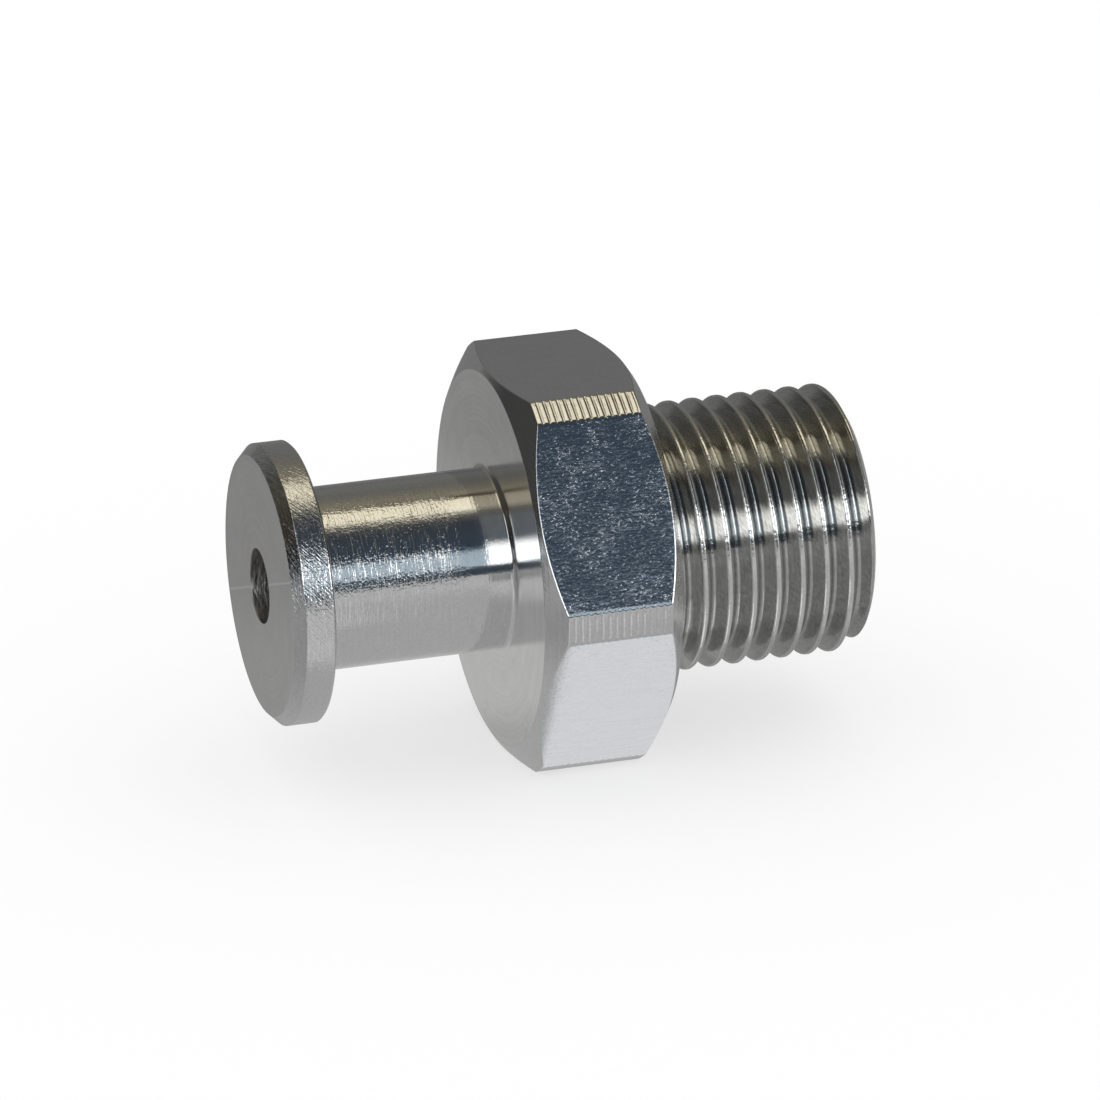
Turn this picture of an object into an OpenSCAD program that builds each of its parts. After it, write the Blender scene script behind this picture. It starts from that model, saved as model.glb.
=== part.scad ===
// Suction cup fitting in one piece of bright turned bar.
// A round head and a neck hold the rubber cup, a hexagon takes the spanner and a parallel pipe thread
// screws into the arm. An air passage runs right through.
// The shared axis lies along X, head towards -X and thread towards +X, with one hexagon flat facing down.
// The origin is on that axis, in the plane of the hexagon's rear face.

/* [Air passage] */
// Diameter of the air passage
passage_d = 2.7; // [1.5:0.1:4]

/* [Head] */
// Diameter of the head that the cup is stretched over
head_d = 10.1; // [8.5:0.1:13]
// Thickness of the head
head_thickness = 1.45; // [1.1:0.05:3]
// Size of the 45 degree chamfer round the head's front
head_chamfer = 0.37; // [0.1:0.01:0.6]
// Size of the small break on the head's back edge
head_break = 0.08; // [0.02:0.01:0.2]

/* [Neck] */
// Diameter of the neck
neck_d = 6.55; // [5:0.05:7.5]
// Length of the neck between the head and the hexagon
neck_length = 7.05; // [4:0.05:12]
// Radius of the fillet where the neck meets the hexagon
neck_fillet = 0.15; // [0.05:0.01:0.4]

/* [Hexagon] */
// Distance across the flats
across_flats = 14; // [13:0.5:19]
// Length of the hexagon along the axis
hexagon_length = 5.1; // [4:0.1:10]
// How much turning takes off each corner, measured along the radius
corner_trim = 0.283; // [0.1:0.01:0.5]
// How far the flat front face stops inside the flats
front_face_inset = 0.2; // [0.05:0.05:0.8]
// Angle of the front chamfer to the front face
front_chamfer_angle = 30; // [15:1:45]
// How far the flat rear face stops inside the flats
rear_face_inset = 0.25; // [0.05:0.05:0.8]
// Angle of the rear chamfer to the rear face
rear_chamfer_angle = 34; // [15:1:45]

/* [Thread] */
// Outside diameter of the right-hand thread
thread_d = 9.68; // [9:0.02:12]
// Pitch of the thread
thread_pitch = 0.907; // [0.7:0.05:1.2]
// Angle between the flanks of the thread
thread_angle = 55; // [50:1:65]
// Width of the flat on the thread's crest
crest_flat = 0.13; // [0.06:0.01:0.2]
// Width of the flat in the thread's root
root_flat = 0.17; // [0.06:0.01:0.2]
// Length from the hexagon's rear face to the end of the thread
thread_length = 7.95; // [5:0.05:14]
// Length of the chamfer at the thread's end, along the axis
end_chamfer_length = 0.25; // [0.1:0.05:1]
// How far that chamfer cuts into the thread's crests
end_chamfer_depth = 0.43; // [0.1:0.01:0.5]
// Length of the plain undercut between the hexagon and the thread
undercut_length = 0.45; // [0.3:0.05:1]
// How far the undercut lies below the thread's roots
undercut_depth = 0.06; // [0.03:0.01:0.3]
// Where the first crest crosses the side that faces +Y, as a share of the pitch
thread_start = 0.13; // [0:0.01:0.99]

/* [Hidden] */
// How finely the round surfaces and the thread are divided
$fn = 96;
thread_sides = 60;

// Places along the axis
hexagon_front_x = -hexagon_length;
head_back_x = hexagon_front_x - neck_length;
head_front_x = head_back_x - head_thickness;
overlap = 0.5;

// Hexagon
sharp_corner_r = across_flats / 2 / cos(30);
corner_r = sharp_corner_r - corner_trim;
front_face_r = across_flats / 2 - front_face_inset;
rear_face_r = across_flats / 2 - rear_face_inset;
front_chamfer_length = (corner_r - front_face_r) * tan(front_chamfer_angle);
rear_chamfer_length = (corner_r - rear_face_r) * tan(rear_chamfer_angle);

// Thread form: a V with a flat on each crest and in each root
flank_tan = tan(thread_angle / 2);
flank_width = (thread_pitch - crest_flat - root_flat) / 2;
crest_r = thread_d / 2;
root_r = crest_r - flank_width / flank_tan;
undercut_r = root_r - undercut_depth;

// The corners of one pitch of the form, as [distance along the axis from the crest's middle, radius]
form = [
    [(root_flat - thread_pitch) / 2, root_r],
    [-crest_flat / 2, crest_r],
    [crest_flat / 2, crest_r],
    [(thread_pitch - root_flat) / 2, root_r]
];
form_count = len(form);

// The thread's skin is a grid of points. Column i runs along the axis at one angle, and row k counts the
// form's corners along the helix, so column thread_sides is column 0 moved on by one pitch. Rows that
// would lie past either end are gathered there.
turns = ceil(thread_length / thread_pitch) + 3;
row_count = turns * form_count;
function crest_x(i, turn) = thread_pitch * (turn + thread_start + i / thread_sides);
function helix_x(i, k) = crest_x(i, floor(k / form_count) - 2) + form[k % form_count][0];
function run_in_r(x) = root_r + x - undercut_length;
function run_out_r(x) =
    crest_r - end_chamfer_depth * (1 - (thread_length - x) / end_chamfer_length);
function envelope_r(x) = min(run_in_r(x), run_out_r(x));
function crest_distance(i, x) =
    let (pitches = (x - crest_x(i, 0)) / thread_pitch) thread_pitch * abs(pitches - round(pitches));
function form_r(i, x) =
    max(root_r, crest_r - max(0, crest_distance(i, x) - crest_flat / 2) / flank_tan);
function skin_r(i, k) =
    let (x = helix_x(i, k))
    x <= undercut_length ? root_r
    : x >= thread_length ? min(form_r(i, thread_length), envelope_r(thread_length))
    : min(form[k % form_count][1], envelope_r(x));
function grid_point(i, k) =
    let (x = min(max(helix_x(i, k), undercut_length), thread_length), angle = 360 * i / thread_sides)
    [x, skin_r(i, k) * cos(angle), skin_r(i, k) * sin(angle)];
function wrapped_row(i, k) = i < thread_sides ? k : min(k + form_count, row_count);
function end_row(i, k) =
    helix_x(i, k) <= undercut_length ? 0 : helix_x(i, k) >= thread_length ? row_count : k;
function grid_index(i, k) =
    let (column = i % thread_sides, row = wrapped_row(i, k))
    column * (row_count + 1) + end_row(column, row);
function is_triangle(t) = t[0] != t[1] && t[1] != t[2] && t[2] != t[0];

// Turns a profile drawn as [radius, distance along the axis] round the X axis
module turned() {
    rotate([0, 90, 0]) rotate_extrude() children();
}

module head_and_neck() {
    turned() polygon([
        [0, head_front_x],
        [head_d / 2 - head_chamfer, head_front_x],
        [head_d / 2, head_front_x + head_chamfer],
        [head_d / 2, head_back_x - head_break],
        [head_d / 2 - head_break, head_back_x],
        [neck_d / 2, head_back_x],
        [neck_d / 2, hexagon_front_x + overlap],
        [0, hexagon_front_x + overlap]
    ]);
    turned() difference() {
        translate([neck_d / 2 - overlap, hexagon_front_x - neck_fillet])
            square([neck_fillet + overlap, neck_fillet + overlap]);
        translate([neck_d / 2 + neck_fillet, hexagon_front_x - neck_fillet])
            circle(r = neck_fillet);
    }
}

module hexagon() {
    intersection() {
        translate([hexagon_front_x, 0, 0]) rotate([0, 90, 0]) linear_extrude(height = hexagon_length)
            polygon([for (corner = [30:60:330]) sharp_corner_r * [cos(corner), sin(corner)]]);
        turned() polygon([
            [0, hexagon_front_x],
            [front_face_r, hexagon_front_x],
            [corner_r, hexagon_front_x + front_chamfer_length],
            [corner_r, -rear_chamfer_length],
            [rear_face_r, 0],
            [0, 0]
        ]);
    }
}

module undercut() {
    translate([-overlap, 0, 0]) rotate([0, 90, 0])
        cylinder(h = 2 * overlap + undercut_length, r = undercut_r);
}

module thread() {
    points = [for (i = [0:thread_sides - 1]) for (k = [0:row_count]) grid_point(i, k)];
    quads = [for (i = [0:thread_sides - 1]) for (k = [0:row_count - 1])
        [grid_index(i, k), grid_index(i + 1, k), grid_index(i + 1, k + 1), grid_index(i, k + 1)]];
    halves = [for (q = quads) each [[q[0], q[2], q[1]], [q[0], q[3], q[2]]]];
    start_cap = [for (i = [0:thread_sides - 1]) grid_index(i, 0)];
    end_cap = [for (i = [thread_sides - 1:-1:0]) grid_index(i, row_count)];
    polyhedron(points, concat([for (t = halves) if (is_triangle(t)) t], [start_cap, end_cap]));
}

module air_passage() {
    translate([head_front_x - overlap, 0, 0]) rotate([0, 90, 0])
        cylinder(h = thread_length - head_front_x + 2 * overlap, d = passage_d);
}

module fitting_body() {
    color([0.78, 0.79, 0.81]) difference() {
        union() {
            head_and_neck();
            hexagon();
            undercut();
            thread();
        }
        air_passage();
    }
}

fitting_body();
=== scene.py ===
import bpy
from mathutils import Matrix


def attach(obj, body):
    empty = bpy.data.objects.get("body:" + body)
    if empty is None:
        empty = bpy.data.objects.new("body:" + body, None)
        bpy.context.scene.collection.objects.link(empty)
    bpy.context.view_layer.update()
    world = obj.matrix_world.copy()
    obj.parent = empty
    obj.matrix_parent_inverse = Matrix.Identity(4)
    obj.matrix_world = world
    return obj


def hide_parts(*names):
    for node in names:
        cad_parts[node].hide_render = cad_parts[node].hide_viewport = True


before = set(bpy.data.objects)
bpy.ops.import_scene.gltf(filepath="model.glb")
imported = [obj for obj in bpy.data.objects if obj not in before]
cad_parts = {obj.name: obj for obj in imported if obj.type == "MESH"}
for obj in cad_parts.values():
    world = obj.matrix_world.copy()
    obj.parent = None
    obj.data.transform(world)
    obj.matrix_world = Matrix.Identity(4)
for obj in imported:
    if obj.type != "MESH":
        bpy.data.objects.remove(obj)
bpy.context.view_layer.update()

import math

import bmesh
import bpy
import numpy as np
from mathutils import Matrix, Vector

# Sizes in millimetres, as in the part's source. X runs along the fitting's axis, towards the
# thread's end.
PASSAGE_R = 1.35
HEAD_R = 5.05
HEAD_THICKNESS = 1.45
HEAD_CHAMFER = 0.37
HEAD_BREAK = 0.08
NECK_R = 3.275
NECK_LENGTH = 7.05
NECK_FILLET = 0.15
ACROSS_FLATS = 14.0
HEXAGON_LENGTH = 5.1
CORNER_R = 7.8
FRONT_FACE_R = 6.8
FRONT_CHAMFER_ANGLE = 30.0
REAR_FACE_R = 6.75
REAR_CHAMFER_ANGLE = 34.0
THREAD_R = 4.84
THREAD_PITCH = 0.907
FLANK_ANGLE = 27.5
CREST_FLAT = 0.13
ROOT_FLAT = 0.17
THREAD_LENGTH = 7.95
THREAD_START = 0.13
UNDERCUT_LENGTH = 0.45
UNDERCUT_DEPTH = 0.06
END_CHAMFER_LENGTH = 0.25
END_CHAMFER_DEPTH = 0.43

# Sizes of what only this model shows
GROOVE_SPACING = 0.253
GROOVE_WIDTH = 0.14
GROOVE_DEPTH = 0.028
GROOVE_RUN_OUT = 0.12  # the stretch at each end of a strip over which its grooves fade
CREST_SOFTNESS = 0.045
ROOT_SOFTNESS = 0.2
MOUTH_BREAK = 0.015  # on the passage's edge in the head
END_MOUTH_BREAK = 0.06  # and at the thread's end
THREAD_FACE_R = 4.2  # the part of the thread's end face that is a plain ring
EDGE = 0.03  # how far the softening of a turned edge reaches
FLAT_EDGE = 0.05  # and that of an edge of a flat
EDGE_CROWDING = 0.82  # how much the columns of points crowd towards the sides of a flat

HEXAGON_FRONT = -HEXAGON_LENGTH
HEAD_BACK = HEXAGON_FRONT - NECK_LENGTH
HEAD_FRONT = HEAD_BACK - HEAD_THICKNESS
FLOOR_Z = -ACROSS_FLATS / 2
FLANK_SLOPE = math.tan(math.radians(FLANK_ANGLE))
ROOT_R = THREAD_R - (THREAD_PITCH - CREST_FLAT - ROOT_FLAT) / 2 / FLANK_SLOPE
UNDERCUT_R = ROOT_R - UNDERCUT_DEPTH

# Columns of points round the axis: FLAT_COLUMNS on each flat, then STRIP_COLUMNS on the turned
# strip beside it
FLAT_COLUMNS = 18
STRIP_COLUMNS = 6
SIDE_COLUMNS = FLAT_COLUMNS + STRIP_COLUMNS
COLUMNS = 6 * SIDE_COLUMNS
THREAD_COLUMNS = 192
THREAD_ROWS = 24  # in each pitch
SPARE_PITCHES = 2  # rows beyond the thread's length, needed since they run along the helix
HEXAGON_ROWS = 211
FILLET_RINGS = 7

# The photo's camera, and the light
PHOTO_FOCAL_LENGTH = 8123.07  # in pixels of the photo
PHOTO_WIDTH = 1100
SENSOR_WIDTH = 36
FLOOR_REACH = 1.5  # metres from the fitting to the floor's edges
FLOOR_LIFT = 0.6  # how much of the floor is plain white to the camera, besides its lit colour


class Number:
    """A number in a node tree, which adds and multiplies like a plain one."""

    def __init__(self, tree, socket):
        self.tree = tree
        self.socket = socket

    def __add__(self, other):
        return reckon("ADD", self, other)

    def __sub__(self, other):
        return reckon("SUBTRACT", self, other)

    def __rsub__(self, other):
        return reckon("SUBTRACT", other, self)

    def __mul__(self, other):
        return reckon("MULTIPLY", self, other)

    def __truediv__(self, other):
        return reckon("DIVIDE", self, other)

    __radd__ = __add__
    __rmul__ = __mul__


def plug(tree, socket, value):
    if isinstance(value, Number):
        tree.links.new(value.socket, socket)
    else:
        socket.default_value = value


def reckon(operation, *values):
    tree = next(value.tree for value in values if isinstance(value, Number))
    node = tree.nodes.new("ShaderNodeMath")
    node.operation = operation
    for socket, value in zip(node.inputs, values):
        plug(tree, socket, value)
    return Number(tree, node.outputs[0])


def point_of(tree, x, y, z):
    node = tree.nodes.new("ShaderNodeCombineXYZ")
    for socket, value in zip(node.inputs, (x, y, z)):
        plug(tree, socket, value)
    return node.outputs[0]


def marks(tree, x, y, z, detail=2.0, roughness=0.5):
    """Noise round 0, stretched by what the caller does to the coordinates."""
    node = tree.nodes.new("ShaderNodeTexNoise")
    node.inputs["Scale"].default_value = 1.0
    node.inputs["Detail"].default_value = detail
    node.inputs["Roughness"].default_value = roughness
    tree.links.new(point_of(tree, x, y, z), node.inputs["Vector"])
    return Number(tree, node.outputs[0]) - 0.5


# Geometry Nodes: the two parts of the skin whose shape follows a rule

def rule_tree(name, sizes):
    """A tree with a named input for each size, and those inputs as numbers."""
    tree = bpy.data.node_groups.new(name, "GeometryNodeTree")
    tree.interface.new_socket("Skin", in_out="OUTPUT", socket_type="NodeSocketGeometry")
    for label in sizes:
        whole = isinstance(sizes[label], int)
        kind = "NodeSocketInt" if whole else "NodeSocketFloat"
        tree.interface.new_socket(label, in_out="INPUT", socket_type=kind)
    tree.interface.new_socket("Finish", in_out="INPUT", socket_type="NodeSocketMaterial")
    inputs = tree.nodes.new("NodeGroupInput")
    return tree, inputs, {label: Number(tree, inputs.outputs[label]) for label in sizes}


def grid_by_rule(tree, inputs, columns, rows, place):
    """Ends a tree: a grid of points, each put where place(column, row) says, in mm."""
    grid = tree.nodes.new("GeometryNodeMeshGrid")
    plug(tree, grid.inputs["Vertices X"], columns + 1)
    plug(tree, grid.inputs["Vertices Y"], rows)
    index = Number(tree, tree.nodes.new("GeometryNodeInputIndex").outputs[0])
    column = reckon("FLOOR", (index + 0.5) / rows)
    row = index - column * rows
    x, radius, angle = place(column, row)
    painted_light_spot = point_of(
        tree,
        x * 0.001,
        radius * reckon("COSINE", angle) * 0.001,
        radius * reckon("SINE", angle) * 0.001,
    )
    move = tree.nodes.new("GeometryNodeSetPosition")
    tree.links.new(grid.outputs["Mesh"], move.inputs["Geometry"])
    tree.links.new(painted_light_spot, move.inputs["Position"])
    merge = tree.nodes.new("GeometryNodeMergeByDistance")
    merge.inputs["Distance"].default_value = 1e-6
    realize = tree.nodes.new("GeometryNodeRealizeInstances")
    finish = tree.nodes.new("GeometryNodeSetMaterial")
    output = tree.nodes.new("NodeGroupOutput")
    tree.links.new(move.outputs[0], merge.inputs["Geometry"])
    tree.links.new(merge.outputs[0], realize.inputs[0])
    tree.links.new(realize.outputs[0], finish.inputs["Geometry"])
    tree.links.new(inputs.outputs["Finish"], finish.inputs["Material"])
    tree.links.new(finish.outputs[0], output.inputs[0])


def skin_from(tree, sizes, finish):
    """Runs a tree on an empty object and returns the plain mesh that it makes."""
    maker = bpy.data.objects.new(tree.name, bpy.data.meshes.new(tree.name))
    bpy.context.scene.collection.objects.link(maker)
    modifier = maker.modifiers.new(tree.name, "NODES")
    modifier.node_group = tree
    for item in tree.interface.items_tree:
        if item.in_out == "INPUT":
            modifier[item.identifier] = finish if item.name == "Finish" else sizes[item.name]
    evaluated = maker.evaluated_get(bpy.context.evaluated_depsgraph_get())
    mesh = bpy.data.meshes.new_from_object(evaluated)
    maker.modifiers.clear()
    bpy.data.objects.remove(maker)
    return mesh


def hexagon_sides(finish):
    """The six flats, and the six turned strips between them with the grooves from the tool."""
    sizes = {
        "Half across flats": ACROSS_FLATS / 2,
        "Turned radius": CORNER_R,
        "Length": HEXAGON_LENGTH,
        "Front face radius": FRONT_FACE_R,
        "Front chamfer slope": math.tan(math.radians(FRONT_CHAMFER_ANGLE)),
        "Rear face radius": REAR_FACE_R,
        "Rear chamfer slope": math.tan(math.radians(REAR_CHAMFER_ANGLE)),
        "Groove spacing": GROOVE_SPACING,
        "Groove width": GROOVE_WIDTH,
        "Groove depth": GROOVE_DEPTH,
        "Edge": FLAT_EDGE,
        "Columns on a flat": FLAT_COLUMNS,
        "Columns on a strip": STRIP_COLUMNS,
        "Rows": HEXAGON_ROWS,
    }
    tree, inputs, size = rule_tree("hexagon_sides", sizes)
    half_flats = size["Half across flats"]
    on_flat, on_strip, rows = size["Columns on a flat"], size["Columns on a strip"], size["Rows"]
    length = size["Length"]

    def strip_start(radius):
        return (radius - size["Front face radius"]) * size["Front chamfer slope"] - length

    def strip_end(radius):
        return (size["Rear face radius"] - radius) * size["Rear chamfer slope"]

    def place(column, row):
        side = reckon("FLOOR", (column + 0.5) / (on_flat + on_strip))
        step = column - side * (on_flat + on_strip)
        share = reckon("MINIMUM", step, on_flat) / on_flat * 2 - 1
        crowded = reckon("SINE", share * (math.pi / 2))
        across = share * (1 - EDGE_CROWDING) + crowded * EDGE_CROWDING
        past_flat = reckon("MAXIMUM", step - on_flat, 0) / on_strip
        beside = (1 - reckon("COSINE", past_flat * math.pi)) * 0.5
        plain_reach = reckon("ARCCOSINE", half_flats / size["Turned radius"])
        plain_radius = half_flats / reckon("COSINE", across * plain_reach)
        front, rear = strip_start(plain_radius), strip_end(plain_radius)
        # The first and last rows lie on the edges, and those beside them just inside
        lead = size["Edge"] / (rear - front)
        along = (row - 1) / (rows - 3) * (1 - lead * 2) + lead
        along = along * reckon("GREATER_THAN", row, 0.5)
        along = reckon("MAXIMUM", along, reckon("GREATER_THAN", row, rows - 1.5))
        x = front + (rear - front) * along
        from_ends = reckon(
            "MINIMUM", x - strip_start(size["Turned radius"]), strip_end(size["Turned radius"]) - x
        )
        fade = reckon("MINIMUM", reckon("MAXIMUM", from_ends / GROOVE_RUN_OUT, 0), 1)
        spacing = size["Groove spacing"]
        to_groove = reckon("PINGPONG", x / spacing, 0.5) * spacing
        groove = 1 - reckon("MINIMUM", to_groove / size["Groove width"] * 2, 1)
        # Each groove has a depth of its own
        groove_number = reckon("ROUND", x / spacing)
        unevenness = 1 + marks(tree, groove_number * 0.37, side * 5.1, 0) * 1.5
        on_this_strip = reckon("GREATER_THAN", step, on_flat + 0.5)
        depth = groove * unevenness * size["Groove depth"] * fade * on_this_strip
        strip_width = math.pi / 3 - plain_reach * 2
        angle = (side + 1.5) * (math.pi / 3) + across * plain_reach + beside * strip_width
        return x, plain_radius - depth, angle

    grid_by_rule(tree, inputs, (on_flat + on_strip) * 6, rows, place)
    return skin_from(tree, sizes, finish)


def pipe_thread(finish):
    """The undercut and the thread. Rows of points follow the helix, so its edges run true."""
    sizes = {
        "Crest radius": THREAD_R,
        "Root radius": ROOT_R,
        "Pitch": THREAD_PITCH,
        "Flank slope": FLANK_SLOPE,
        "Crest flat": CREST_FLAT,
        "Root flat": ROOT_FLAT,
        "Crest softness": CREST_SOFTNESS,
        "Root softness": ROOT_SOFTNESS,
        "Start": THREAD_START,
        "Length": THREAD_LENGTH,
        "Undercut length": UNDERCUT_LENGTH,
        "Undercut depth": UNDERCUT_DEPTH,
        "End chamfer length": END_CHAMFER_LENGTH,
        "End chamfer depth": END_CHAMFER_DEPTH,
        "Columns": THREAD_COLUMNS,
        "Rows in a pitch": THREAD_ROWS,
        "Rows": THREAD_ROWS * (math.ceil(THREAD_LENGTH / THREAD_PITCH) + SPARE_PITCHES) + 1,
    }
    tree, inputs, size = rule_tree("pipe_thread", sizes)

    def place(column, row):
        turn = column / size["Columns"]
        lead = turn + size["Start"]
        x = (row / size["Rows in a pitch"] + lead - SPARE_PITCHES) * size["Pitch"]
        x = reckon("MINIMUM", reckon("MAXIMUM", x, 0), size["Length"])
        crest, root, pitch = size["Crest radius"], size["Root radius"], size["Pitch"]

        def run_out(x):
            share = 1 - (size["Length"] - x) / size["End chamfer length"]
            return crest - size["End chamfer depth"] * share

        # The rising flank runs to where its crest begins, which near the end is lower and nearer
        root_middle = (reckon("FLOOR", x / pitch - lead + 0.5) + lead - 0.5) * pitch
        flank_foot = root_middle + size["Root flat"] * 0.5
        flank_top = root_middle + (pitch - size["Crest flat"]) * 0.5
        flank_top = reckon("MINIMUM", flank_top, size["Length"])
        flank_reach = reckon("MAXIMUM", flank_top - flank_foot, 0.02)
        flank_rise = reckon("MINIMUM", run_out(flank_top), crest) - root
        rising = root + (x - flank_foot) * flank_rise / flank_reach
        from_crest = reckon("PINGPONG", x / pitch - lead, 0.5) * pitch
        flank = crest - (from_crest - size["Crest flat"] * 0.5) / size["Flank slope"]
        radius = reckon("MINIMUM", flank, rising)
        radius = reckon("SMOOTH_MIN", radius, crest, size["Crest softness"])
        radius = reckon("SMOOTH_MAX", radius, root, size["Root softness"])
        radius = reckon("SMOOTH_MIN", radius, run_out(x), size["Crest softness"])
        run_in = root - size["Undercut depth"] + reckon(
            "MAXIMUM", x - size["Undercut length"] + size["Undercut depth"], 0
        )
        radius = reckon("MINIMUM", radius, run_in)
        return x, radius, turn * (2 * math.pi)

    grid_by_rule(tree, inputs, size["Columns"], size["Rows"], place)
    return skin_from(tree, sizes, finish)


# The rest of the skin: rings of points, one ring for each place on the turned outline

def column_angles_and_radii():
    """For each column, its angle and how far out the hexagon's sides lie there."""
    reach = math.acos(ACROSS_FLATS / 2 / CORNER_R)
    angles, radii = [], []
    for column in range(COLUMNS):
        side, step = divmod(column, SIDE_COLUMNS)
        share = min(step, FLAT_COLUMNS) / FLAT_COLUMNS * 2 - 1
        across = share * (1 - EDGE_CROWDING) + math.sin(share * math.pi / 2) * EDGE_CROWDING
        past_flat = max(step - FLAT_COLUMNS, 0) / STRIP_COLUMNS
        beside = (1 - math.cos(past_flat * math.pi)) * 0.5
        strip_width = math.pi / 3 - reach * 2
        angles.append((side + 1.5) * math.pi / 3 + across * reach + beside * strip_width)
        radii.append(ACROSS_FLATS / 2 / math.cos(across * reach))
    return np.array(angles), np.array(radii)


def just_off(corner, other):
    """A point close to a corner, on the way to another."""
    share = min(EDGE / math.dist(corner, other), 0.4)
    return tuple(c + (o - c) * share for c, o in zip(corner, other))


def softened(outline):
    """The outline with a point on both sides of each corner, which then shades as a fine edge."""
    out = [outline[0]]
    for before, corner, after in zip(outline, outline[1:], outline[2:]):
        out += [just_off(corner, before), corner, just_off(corner, after)]
    return out + [outline[-1]]


def add_rings(bm, rings, angles):
    """Joins rings of points, given as places along the axis and radii, one for each column."""
    previous = None
    for places, radii in rings:
        places = np.broadcast_to(places, angles.shape)
        radii = np.broadcast_to(radii, angles.shape)
        ring = [
            bm.verts.new((x * 0.001, r * math.cos(a) * 0.001, r * math.sin(a) * 0.001))
            for x, r, a in zip(places, radii, angles)
        ]
        if previous:
            for k in range(len(ring)):
                m = (k + 1) % len(ring)
                bm.faces.new((previous[k], previous[m], ring[m], ring[k]))
        previous = ring


def ring_between(start, end, share):
    pairs = [(np.asarray(s), np.asarray(e)) for s, e in zip(start, end)]
    return tuple(s + (e - s) * share for s, e in pairs)


def conical_ring_rows(face, edge):
    """Rings across a chamfer, from its edge on an end face to its edge on the hexagon's sides."""
    length = np.hypot(np.asarray(edge[0]) - face[0], np.asarray(edge[1]) - face[1])
    shares = (EDGE / length, 0.5, 1 - FLAT_EDGE / length)
    return [face] + [ring_between(face, edge, share) for share in shares] + [edge]


def boundary_ring(bm, place, smallest, largest):
    """The open points in one plane across the axis, between two radii, sorted by angle."""
    found = []
    for vert in bm.verts:
        radius = math.hypot(vert.co.y, vert.co.z) * 1000
        in_plane = abs(vert.co.x * 1000 - place) < 1e-3
        if in_plane and smallest < radius < largest and vert.is_boundary:
            found.append((math.atan2(vert.co.z, vert.co.y), vert))
    return sorted(found, key=lambda pair: pair[0])


def fill_between(bm, outer, inner):
    """Closes the flat band between two rounds of points with triangles."""
    n, m = len(outer), len(inner)
    i = j = 0

    def angle_of(points, k):
        return points[k % len(points)][0] + 2 * math.pi * (k // len(points))

    while i < n or j < m:
        a, b = outer[i % n][1], inner[j % m][1]
        if j >= m or (i < n and angle_of(outer, i + 1) <= angle_of(inner, j + 1)):
            bm.faces.new((a, outer[(i + 1) % n][1], b))
            i += 1
        else:
            bm.faces.new((a, inner[(j + 1) % m][1], b))
            j += 1


def flat_normal(centre):
    """Which way the nearest flat of the hexagon faces."""
    degrees = math.degrees(math.atan2(centre.z, centre.y))
    turn = math.radians(round((degrees - 30) / 60) * 60 + 30)
    return Vector((0, math.cos(turn), math.sin(turn)))


def sides_end(face_x, face_r, chamfer_angle, side_radii):
    """The curved edge between a chamfer and the hexagon's sides, as a ring."""
    return face_x + (side_radii - face_r) * math.tan(math.radians(chamfer_angle)), side_radii


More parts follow.
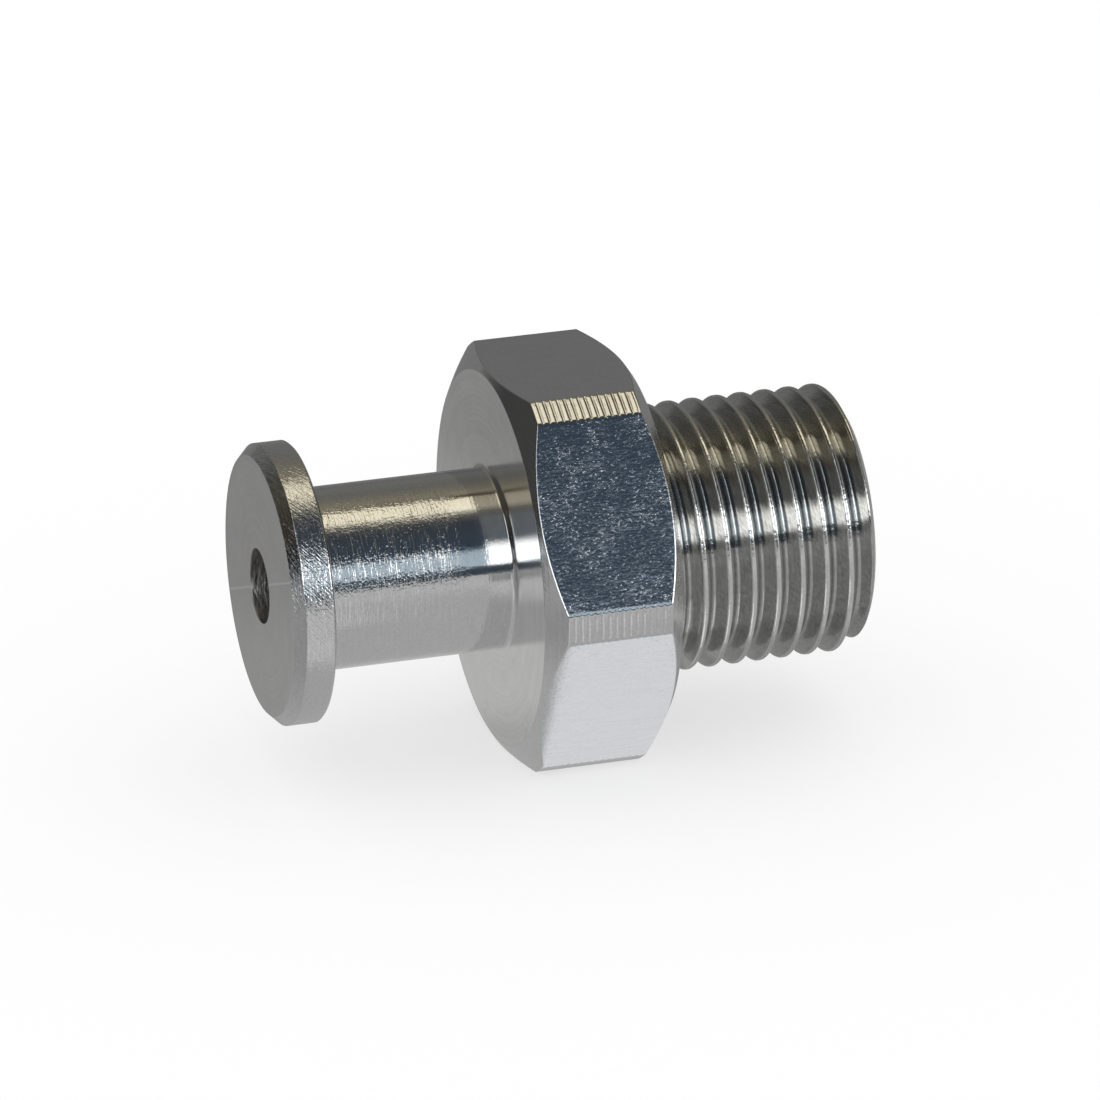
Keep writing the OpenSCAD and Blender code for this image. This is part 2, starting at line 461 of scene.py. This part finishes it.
def fitting_mesh(finishes):
    angles, side_radii = column_angles_and_radii()
    fillet = [
        (
            HEXAGON_FRONT - NECK_FILLET * (1 - math.sin(t)),
            NECK_R + NECK_FILLET * (1 - math.cos(t)),
        )
        for t in np.linspace(0, math.pi / 2, FILLET_RINGS)
    ]
    outline = softened([
        (THREAD_LENGTH, THREAD_FACE_R),
        (THREAD_LENGTH, PASSAGE_R + END_MOUTH_BREAK),
        (THREAD_LENGTH - END_MOUTH_BREAK, PASSAGE_R),
        (HEAD_FRONT + MOUTH_BREAK, PASSAGE_R),
        (HEAD_FRONT, PASSAGE_R + MOUTH_BREAK),
        (HEAD_FRONT, HEAD_R - HEAD_CHAMFER),
        (HEAD_FRONT + HEAD_CHAMFER, HEAD_R),
        (HEAD_BACK - HEAD_BREAK, HEAD_R),
        (HEAD_BACK, HEAD_R - HEAD_BREAK),
        (HEAD_BACK, NECK_R),
        fillet[0],
    ])
    front_edge = sides_end(HEXAGON_FRONT, FRONT_FACE_R, FRONT_CHAMFER_ANGLE, side_radii)
    rear_edge = sides_end(0.0, REAR_FACE_R, -REAR_CHAMFER_ANGLE, side_radii)
    bm = bmesh.new()
    add_rings(
        bm,
        outline[:-1] + [(fillet[0][0] - EDGE, NECK_R)] + fillet
        + [(HEXAGON_FRONT, NECK_R + NECK_FILLET + EDGE), (HEXAGON_FRONT, FRONT_FACE_R - EDGE)]
        + conical_ring_rows((HEXAGON_FRONT, FRONT_FACE_R), front_edge),
        angles,
    )
    add_rings(
        bm,
        conical_ring_rows((0.0, REAR_FACE_R), rear_edge)[::-1]
        + [(0.0, REAR_FACE_R - EDGE), (0.0, UNDERCUT_R + EDGE)],
        angles,
    )
    for mesh in (hexagon_sides(finishes["drawn_flats"]), pipe_thread(finishes["cut_thread"])):
        bm.from_mesh(mesh)
        bpy.data.meshes.remove(mesh)
    bmesh.ops.remove_doubles(bm, verts=bm.verts, dist=2e-6)
    fill_between(
        bm,
        boundary_ring(bm, 0, UNDERCUT_R + EDGE / 2, 6),
        boundary_ring(bm, 0, 3, UNDERCUT_R + EDGE / 2),
    )
    fill_between(
        bm,
        boundary_ring(bm, THREAD_LENGTH, THREAD_FACE_R + 0.02, 6),
        boundary_ring(bm, THREAD_LENGTH, 1, THREAD_FACE_R + 0.02),
    )
    bmesh.ops.recalc_face_normals(bm, faces=bm.faces)
    order = list(finishes)
    for face in bm.faces:
        face.smooth = True
        centre, normal = face.calc_center_median() * 1000, face.normal
        radius = math.hypot(centre.y, centre.z)
        if radius < PASSAGE_R + 0.01:
            name = "drilled_passage"
        elif centre.x > 0.001 and radius > THREAD_FACE_R - 0.1:
            name = "cut_thread"
        elif abs(normal.x) > 0.97:
            name = "faced_ends"
        elif centre.x > HEXAGON_FRONT and flat_normal(centre).dot(normal) > 0.9995:
            name = "drawn_flats"
        else:
            name = "turned_skin"
        face.material_index = order.index(name)
    mesh = bpy.data.meshes.new("turned_fitting")
    bm.to_mesh(mesh)
    bm.free()
    for finish in finishes.values():
        mesh.materials.append(finish)
    return mesh


# Finishes

def metal(name, colour, roughness):
    """A bright metal, and its Object coordinates in millimetres for the marks on it."""
    material = bpy.data.materials.new(name)
    material.use_nodes = True
    tree = material.node_tree
    tree.nodes.clear()
    output = tree.nodes.new("ShaderNodeOutputMaterial")
    shader = tree.nodes.new("ShaderNodeBsdfPrincipled")
    shader.inputs["Metallic"].default_value = 1.0
    shader.inputs["Base Color"].default_value = (*colour, 1)
    shader.inputs["Roughness"].default_value = roughness
    tree.links.new(shader.outputs[0], output.inputs["Surface"])
    place = tree.nodes.new("ShaderNodeTexCoord")
    in_mm = tree.nodes.new("ShaderNodeMapping")
    in_mm.inputs["Scale"].default_value = (1000, 1000, 1000)
    split = tree.nodes.new("ShaderNodeSeparateXYZ")
    tree.links.new(place.outputs["Object"], in_mm.inputs["Vector"])
    tree.links.new(in_mm.outputs[0], split.inputs[0])
    x, y, z = (Number(tree, socket) for socket in split.outputs)
    return material, tree, shader, x, y, z


def pits(tree, x, y, z, size):
    """1 in small round spots, with size as a share of their spacing; a third are left out."""
    node = tree.nodes.new("ShaderNodeTexVoronoi")
    node.inputs["Scale"].default_value = 1.0
    tree.links.new(point_of(tree, x, y, z), node.inputs["Vector"])
    which = tree.nodes.new("ShaderNodeSeparateColor")
    tree.links.new(node.outputs["Color"], which.inputs[0])
    painted_light_spot = 1 - between(Number(tree, node.outputs["Distance"]), size * 0.4, size)
    return painted_light_spot * between(Number(tree, which.outputs[0]), 0.3, 0.4)


def between(value, low, high):
    """Rises smoothly from 0 at low to 1 at high."""
    node = value.tree.nodes.new("ShaderNodeMapRange")
    node.interpolation_type = "SMOOTHSTEP"
    plug(value.tree, node.inputs["Value"], value)
    node.inputs["From Min"].default_value = low
    node.inputs["From Max"].default_value = high
    return Number(value.tree, node.outputs[0])


def raise_surface(tree, shader, height_mm):
    bump = tree.nodes.new("ShaderNodeBump")
    bump.inputs["Strength"].default_value = 1.0
    bump.inputs["Distance"].default_value = 0.001
    tree.links.new(height_mm.socket, bump.inputs["Height"])
    tree.links.new(bump.outputs[0], shader.inputs["Normal"])


def shade(tree, shader, lightness, colour):
    """Base colour: the given colour times a number."""
    node = tree.nodes.new("ShaderNodeCombineColor")
    for socket, part in zip(node.inputs, colour):
        plug(tree, socket, lightness * part)
    tree.links.new(node.outputs[0], shader.inputs["Base Color"])


def round_the_axis(y, z):
    """The angle round the axis in radians, with its break low at the back."""
    break_at = math.radians(120)
    turned_y = y * math.cos(break_at) - z * math.sin(break_at)
    turned_z = y * math.sin(break_at) + z * math.cos(break_at)
    return reckon("ARCTAN2", turned_z, turned_y)


def turned_skin():
    """Head, neck and chamfers: fine tool rings, slanting marks, most on the head, and pits."""
    material, tree, shader, x, y, z = metal("turned_skin", (0.80, 0.80, 0.805), 0.08)
    radius = reckon("SQRT", y * y + z * z)
    arc = round_the_axis(y, z) * radius
    on_head = 1 - between(x, HEAD_BACK, HEAD_BACK + 0.1)
    # All the marks from the head to near the hexagon, none on its front, half on its strips
    worked_part = 1 - between(x, -7.3, -6.5) + between(x, -4.7, -4.5) * 0.5
    hatch = marks(tree, (x * 1.2 - arc) * 9, (x * 1.2 + arc) * 1.1, radius * 2, detail=2.0)
    rings = marks(tree, x * 15, arc * 1.2, radius, detail=1.0)
    streaks = marks(tree, x * 1.4 + arc * 1.2, arc * 10, radius, detail=2.0)
    grain = marks(tree, x * 11, arc * 11, radius, detail=1.0)
    waves = marks(tree, x * 0.5, arc * 1.6, radius)
    height = hatch * (on_head * 0.014 + worked_part * 0.005)
    height = height + rings * (worked_part * 0.014 + 0.0015)
    height = height + streaks * (worked_part * 0.0045 + 0.0004)
    height = height + grain * (worked_part * 0.0032 + 0.0015)
    height = height + waves * 0.003
    height = height - pits(tree, x * 2.2, arc * 2.2, radius, 0.09) * 0.006
    specks = between(marks(tree, x * 13, arc * 9 + 70, radius, detail=1.0), 0.14, 0.24)
    height = height - specks * worked_part * 0.003
    raise_surface(tree, shader, height)
    shade(tree, shader, 1 + rings * 0.12 + grain * 0.2, (0.79, 0.79, 0.795))
    return material


def faced_ends():
    """Head face, hexagon faces and thread end: rings round the axis, pits, a few stains and a
    painted highlight line across the head.
    """
    material, tree, shader, x, y, z = metal("faced_ends", (0.80, 0.80, 0.805), 0.12)
    radius = reckon("SQRT", y * y + z * z)
    rings = marks(tree, radius * 9, y * 0.12, z * 0.12)
    grain = marks(tree, x, y * 14, z * 14, detail=3.0)
    height = rings * 0.0034 + grain * 0.0028 - pits(tree, x, y * 1.6, z * 1.6, 0.07) * 0.01
    raise_surface(tree, shader, height)
    stains = marks(tree, x, y * 0.9, z * 0.9, detail=4.0)
    curl = marks(tree, x, y * 0.7 + 11, z * 0.7, detail=3.0)
    hair_lines = 1 - between(reckon("ABSOLUTE", curl), 0.002, 0.008)
    hair_lines = hair_lines * between(marks(tree, x, y * 0.5, z * 0.5 + 23), 0.08, 0.14)
    # A painted highlight: a thin bright line right across the head
    slant = math.radians(158.5)
    aside = reckon("ABSOLUTE", z * math.cos(slant) - y * math.sin(slant))
    on_head = 1 - between(x, HEAD_FRONT + 0.01, HEAD_FRONT + 0.02)
    painted_highlight_line = (1 - between(aside, 0.02, 0.06)) * on_head
    lightness = 1 + rings * 0.2 + grain * 0.16 + stains * 0.16 - hair_lines * 0.15
    # the painted highlight lightens the colour along that line
    lightness = lightness + painted_highlight_line * 0.3
    shade(tree, shader, lightness, (0.77, 0.77, 0.77))
    return material


def drawn_flats():
    """The hexagon's flats as the bar was drawn: dense fine grain, faint streaks, duller spots."""
    material, tree, shader, x, y, z = metal("drawn_flats", (0.80, 0.80, 0.81), 0.09)
    grain = marks(tree, x * 10, y * 10, z * 10, detail=3.0, roughness=0.6)
    streaks = marks(tree, x * 1.6, y * 12, z * 12, detail=2.0)
    patches = between(marks(tree, x * 0.9, y * 1.1, z * 1.1), -0.2, 0.2)
    specks = between(marks(tree, x * 9 + 50, y * 13, z * 13, detail=2.0), 0.1, 0.24)
    height = grain * (patches * 0.003 + 0.0024) + streaks * 0.0018
    height = height + specks * (patches * 0.0035 + 0.0015)
    raise_surface(tree, shader, height)
    # Small duller spots, which catch the light from the side
    dull_spots = marks(tree, x * 4, y * 9 + 90, z * 9, detail=3.0, roughness=0.6)
    dull_spots = between(dull_spots, -0.02, 0.14)
    plug(tree, shader.inputs["Roughness"], dull_spots * (patches * 0.12 + 0.05) + 0.07)
    fine_streaks = marks(tree, x * 0.9, y * 9 + 30, z * 9, detail=4.0, roughness=0.7)
    shade(tree, shader, 1 + fine_streaks * 0.16 + grain * 0.15, (0.775, 0.79, 0.82))
    return material


def cut_thread():
    """The thread: fine lines that follow the tool, and painted shade that darkens its flanks and
    roots.
    """
    material, tree, shader, x, y, z = metal("cut_thread", (0.80, 0.80, 0.80), 0.11)
    radius = reckon("SQRT", y * y + z * z)
    arc = round_the_axis(y, z) * radius
    along_helix = x - arc / radius * (THREAD_PITCH / (2 * math.pi))
    lines = marks(tree, along_helix * 16, arc * 0.9, radius * 16)
    tears = marks(tree, along_helix * 9, arc * 7, radius * 9, detail=2.0)
    flank = between(radius, ROOT_R + 0.02, ROOT_R + 0.08)
    flank = flank * (1 - between(radius, THREAD_R - 0.08, THREAD_R - 0.03))
    flank = flank * between(x, UNDERCUT_LENGTH, UNDERCUT_LENGTH + 0.05)
    painted_root_shade = 1 - between(radius, ROOT_R + 0.03, ROOT_R + 0.08)
    on_crest = between(radius, THREAD_R - 0.05, THREAD_R - 0.02)
    chatter = marks(tree, along_helix * 3, arc * 8, radius * 6, detail=3.0, roughness=0.6)
    height = lines * 0.0024 + tears * (0.008 - flank * 0.0072 + on_crest * 0.006)
    height = height + chatter * flank * 0.0012
    raise_surface(tree, shader, height)
    # Painted shade: the colour is darkened on the flanks and in the roots
    lightness = 1 - flank * 0.36 - painted_root_shade * 0.32 + lines * 0.25 + tears * 0.3
    lightness = lightness + chatter * flank * 0.45
    shade(tree, shader, lightness, (0.85, 0.85, 0.835))
    return material


def drilled_passage():
    """The wall of the air passage, torn a little by the drill."""
    material, tree, shader, x, y, z = metal("drilled_passage", (0.55, 0.54, 0.52), 0.38)
    tears = marks(tree, x * 7, y * 2.5, z * 2.5, detail=4.0)
    raise_surface(tree, shader, tears * 0.035)
    shade(tree, shader, 1 + tears * 1.2, (0.52, 0.51, 0.49))
    return material


def by_degrees(tree, turn, stops):
    """A colour ramp over one whole turn, from (degrees, colour) pairs."""
    ramp = tree.nodes.new("ShaderNodeValToRGB")
    tree.links.new(turn.socket, ramp.inputs[0])
    points = ramp.color_ramp.elements
    while len(points) < len(stops):
        points.new(0.5)
    for point, (degrees, colour) in zip(points, stops):
        point.position = degrees / 360
        point.color = (*colour, 1)
    return ramp.outputs["Color"]


def background(tree, colour, strength):
    node = tree.nodes.new("ShaderNodeBackground")
    if isinstance(colour, tuple):
        node.inputs["Color"].default_value = colour
    else:
        tree.links.new(colour, node.inputs["Color"])
    plug(tree, node.inputs["Strength"], strength)
    return node.outputs[0]


def studio():
    """White to the camera, even light on the floor, and a room with panels in the metal."""
    world = bpy.data.worlds.new("studio")
    bpy.context.scene.world = world
    world.use_nodes = True
    world.cycles.sampling_method = "NONE"
    tree = world.node_tree
    tree.nodes.clear()
    output = tree.nodes.new("ShaderNodeOutputWorld")
    place = tree.nodes.new("ShaderNodeTexCoord")
    split = tree.nodes.new("ShaderNodeSeparateXYZ")
    tree.links.new(place.outputs["Generated"], split.inputs[0])
    along, back, up = (Number(tree, socket) for socket in split.outputs)
    turn = reckon("FRACT", reckon("ARCTAN2", up, back) / (2 * math.pi) + 1)
    # Degrees up and over the fitting from the horizon behind it, and the light from there
    walls = by_degrees(tree, turn, [
        (0, (0.17, 0.17, 0.165)),
        (6, (0.13, 0.135, 0.13)),
        (20, (0.162, 0.162, 0.155)),
        (42, (0.14, 0.137, 0.12)),
        (56, (0.19, 0.175, 0.135)),
        (64, (0.26, 0.23, 0.165)),
        (67, (0.20, 0.175, 0.125)),
        (68.5, (0.05, 0.045, 0.035)),
        (75, (0.10, 0.085, 0.06)),
        (92, (0.10, 0.09, 0.07)),
        (101, (0.09, 0.09, 0.085)),
        (110, (0.04, 0.048, 0.057)),
        (126, (0.04, 0.052, 0.068)),
        (142, (0.035, 0.052, 0.072)),
        (146, (0.16, 0.20, 0.24)),
        (149, (0.40, 0.49, 0.55)),
        (166, (0.44, 0.53, 0.59)),
        (168.5, (0.05, 0.07, 0.09)),
        (177, (0.03, 0.045, 0.06)),
        (179, (0.5, 0.5, 0.5)),
        (352, (0.2, 0.2, 0.195)),
    ])
    warm_lamp = by_degrees(tree, turn, [
        (71, (0, 0, 0)),
        (73, (0.85, 0.78, 0.58)),
        (90, (0.95, 0.88, 0.68)),
        (96, (0.25, 0.24, 0.19)),
        (101, (0, 0, 0)),
    ])
    white_panels = by_degrees(tree, turn, [
        (136, (0, 0, 0)),
        (146, (1, 0.99, 0.97)),
        (166, (1, 1, 1)),
        (168.5, (0, 0, 0)),
    ])
    dark_walls = by_degrees(tree, turn, [
        (0, (0.13, 0.13, 0.12)),
        (40, (0.12, 0.115, 0.10)),
        (62, (0.10, 0.085, 0.06)),
        (100, (0.12, 0.105, 0.085)),
        (110, (0.19, 0.19, 0.185)),
        (165, (0.19, 0.19, 0.185)),
        (169, (0.33, 0.33, 0.32)),
        (352, (0.15, 0.15, 0.15)),
    ])
    side_light = by_degrees(tree, turn, [
        (98, (0, 0, 0)),
        (108, (0.95, 1, 1)),
        (142, (0.95, 1, 1)),
        (145, (0, 0, 0)),
    ])
    # How much of each shows towards the head's side, where along is below 0, and the thread's
    dark_side = between(along, 0.36, 0.6)
    walls_side = (1 - between(0 - along, 0.3, 0.65) * 0.65) * (1 - dark_side)
    lamp_side = between(along, -0.5, 0.1) * (1 - between(along, 0.34, 0.46) * 0.82)
    panel_side = between(along, -0.98, -0.6) * (1 - between(along, -0.15, 0.12)) * 1.5
    panel_side = panel_side + between(along, 0.42, 0.6) * 2.5
    strip_side = between(0 - along, 0.36, 0.46) * (1 - between(0 - along, 0.58, 0.68))
    fill_side = (1 - between(along, -0.2, 0.05)) * (1 - between(0 - along, 0.6, 0.7)) * 0.1
    fill_side = fill_side + strip_side * 0.8
    ray = tree.nodes.new("ShaderNodeLightPath")
    glossy = Number(tree, ray.outputs["Is Glossy Ray"])
    light = background(tree, (1, 1, 1, 1), 1 - glossy)
    sources = [
        (walls, walls_side),
        (dark_walls, dark_side),
        (warm_lamp, lamp_side),
        (white_panels, panel_side),
        (side_light, fill_side),
    ]
    for colour, side in sources:
        both = tree.nodes.new("ShaderNodeAddShader")
        tree.links.new(light, both.inputs[0])
        tree.links.new(background(tree, colour, glossy * side), both.inputs[1])
        light = both.outputs[0]
    tree.links.new(light, output.inputs["Surface"])


def pale_floor():
    """White to the camera but for a soft shadow. The metal sees a glowing table with painted light
    and shade on it, lighter in places.
    """
    mesh = bpy.data.meshes.new("pale_floor")
    corners = [(-1, -1), (1, -1), (1, 1), (-1, 1)]
    points = [(x * FLOOR_REACH, y * FLOOR_REACH, FLOOR_Z * 0.001) for x, y in corners]
    mesh.from_pydata(points, [], [(0, 1, 2, 3)])
    material, tree, shader, x, y, _ = metal("pale_floor", (1, 1, 1), 1.0)
    shader.inputs["Metallic"].default_value = 0.0
    shader.inputs["Specular IOR Level"].default_value = 0.0
    in_front, behind = between(0 - y, -5, 5), between(y, 0, 4)
    to_head = 0 - x
    # From back to front
    # What the metal sees of the floor is a glow, with painted light and shade set place by place
    light = 0.42 - between(y, 8, 20) * 0.05 - between(y, 28, 50) * 0.18
    light = light + between(0 - y, 12, 45) * 0.08
    # Darker in front of the head
    light = light * (1 - in_front * between(to_head, 9, 22) * 0.3)
    # Darker where the head's face sees it
    head_view = behind * (1 - between(y, 30, 40))
    head_view = head_view * between(to_head, 10, 14) * (1 - between(to_head, 40, 60))
    light = light - head_view * 0.11
    # Lighter where the foot of the hexagon's front face sees it
    foot_view = behind * (1 - between(y, 8, 16))
    foot_view = foot_view * (1 - between(to_head, 9, 12)) * between(to_head, 4, 6)
    light = light + foot_view * 0.1
    # Lighter where that face sees it by way of the neck
    neck_view = between(to_head, 7, 10) * (1 - between(to_head, 16, 24)) * between(0 - y, 8, 12)
    light = light + neck_view * 0.18
    # A painted shadow beneath the thread, in the glow that the metal sees
    painted_shadow = between(x, 0, 1.5) * (1 - between(x, 8, 12))
    painted_shadow = painted_shadow * between(y, -4.6, -3) * (1 - between(y, 5, 10))
    light = light * (1 - painted_shadow * 0.3)
    # A painted pool of light that the hexagon's lower flat shows, just wide enough for it
    painted_light_spot = between(x + y * 0.4 + 1.76, -4.7, -4.3) * (1 - between(x, 1.8, 2.6))
    painted_light_spot = painted_light_spot * between(y, -10.2, -9.4) * (1 - between(y, -4.2, -3.6))
    light = light + painted_light_spot * 0.36
    reflected = tree.nodes.new("ShaderNodeEmission")
    reflected.inputs["Color"].default_value = (1, 1, 0.99, 1)
    plug(tree, reflected.inputs["Strength"], light)
    direct = tree.nodes.new("ShaderNodeEmission")
    lift = tree.nodes.new("ShaderNodeMixShader")
    lift.inputs[0].default_value = FLOOR_LIFT
    choose = tree.nodes.new("ShaderNodeMixShader")
    ray = tree.nodes.new("ShaderNodeLightPath")
    output = next(n for n in tree.nodes if n.bl_idname == "ShaderNodeOutputMaterial")
    tree.links.new(shader.outputs[0], lift.inputs[1])
    tree.links.new(direct.outputs[0], lift.inputs[2])
    tree.links.new(ray.outputs["Is Glossy Ray"], choose.inputs[0])
    tree.links.new(lift.outputs[0], choose.inputs[1])
    tree.links.new(reflected.outputs[0], choose.inputs[2])
    tree.links.new(choose.outputs[0], output.inputs["Surface"])
    mesh.materials.append(material)
    floor = bpy.data.objects.new("pale_floor", mesh)
    bpy.context.scene.collection.objects.link(floor)


def photo_camera():
    """The camera that was fitted to the outlines in the photo."""
    camera = bpy.data.cameras.new("photo_camera")
    camera.sensor_fit = "HORIZONTAL"
    camera.sensor_width = SENSOR_WIDTH
    camera.lens = PHOTO_FOCAL_LENGTH / PHOTO_WIDTH * SENSOR_WIDTH
    camera.clip_start = 0.01
    camera.clip_end = 10
    holder = bpy.data.objects.new("photo_camera", camera)
    bpy.context.scene.collection.objects.link(holder)
    right = (0.95648578, -0.29144471, -0.01396202)
    up = (0.11671128, 0.33829851, 0.93377331)
    back = (-0.26741996, -0.89477042, 0.35759259)
    turn = Matrix((right, up, back)).transposed().to_4x4()
    holder.matrix_world = Matrix.Translation((-0.080538, -0.259968, 0.103910)) @ turn
    bpy.context.scene.camera = holder


bpy.context.scene.view_settings.view_transform = "Standard"
photo_camera()
studio()
pale_floor()

finishes = {
    "turned_skin": turned_skin(),
    "faced_ends": faced_ends(),
    "drawn_flats": drawn_flats(),
    "cut_thread": cut_thread(),
    "drilled_passage": drilled_passage(),
}
fitting = bpy.data.objects.new("turned_fitting", fitting_mesh(finishes))
bpy.context.scene.collection.objects.link(fitting)
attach(fitting, "root")
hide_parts("fitting_body")
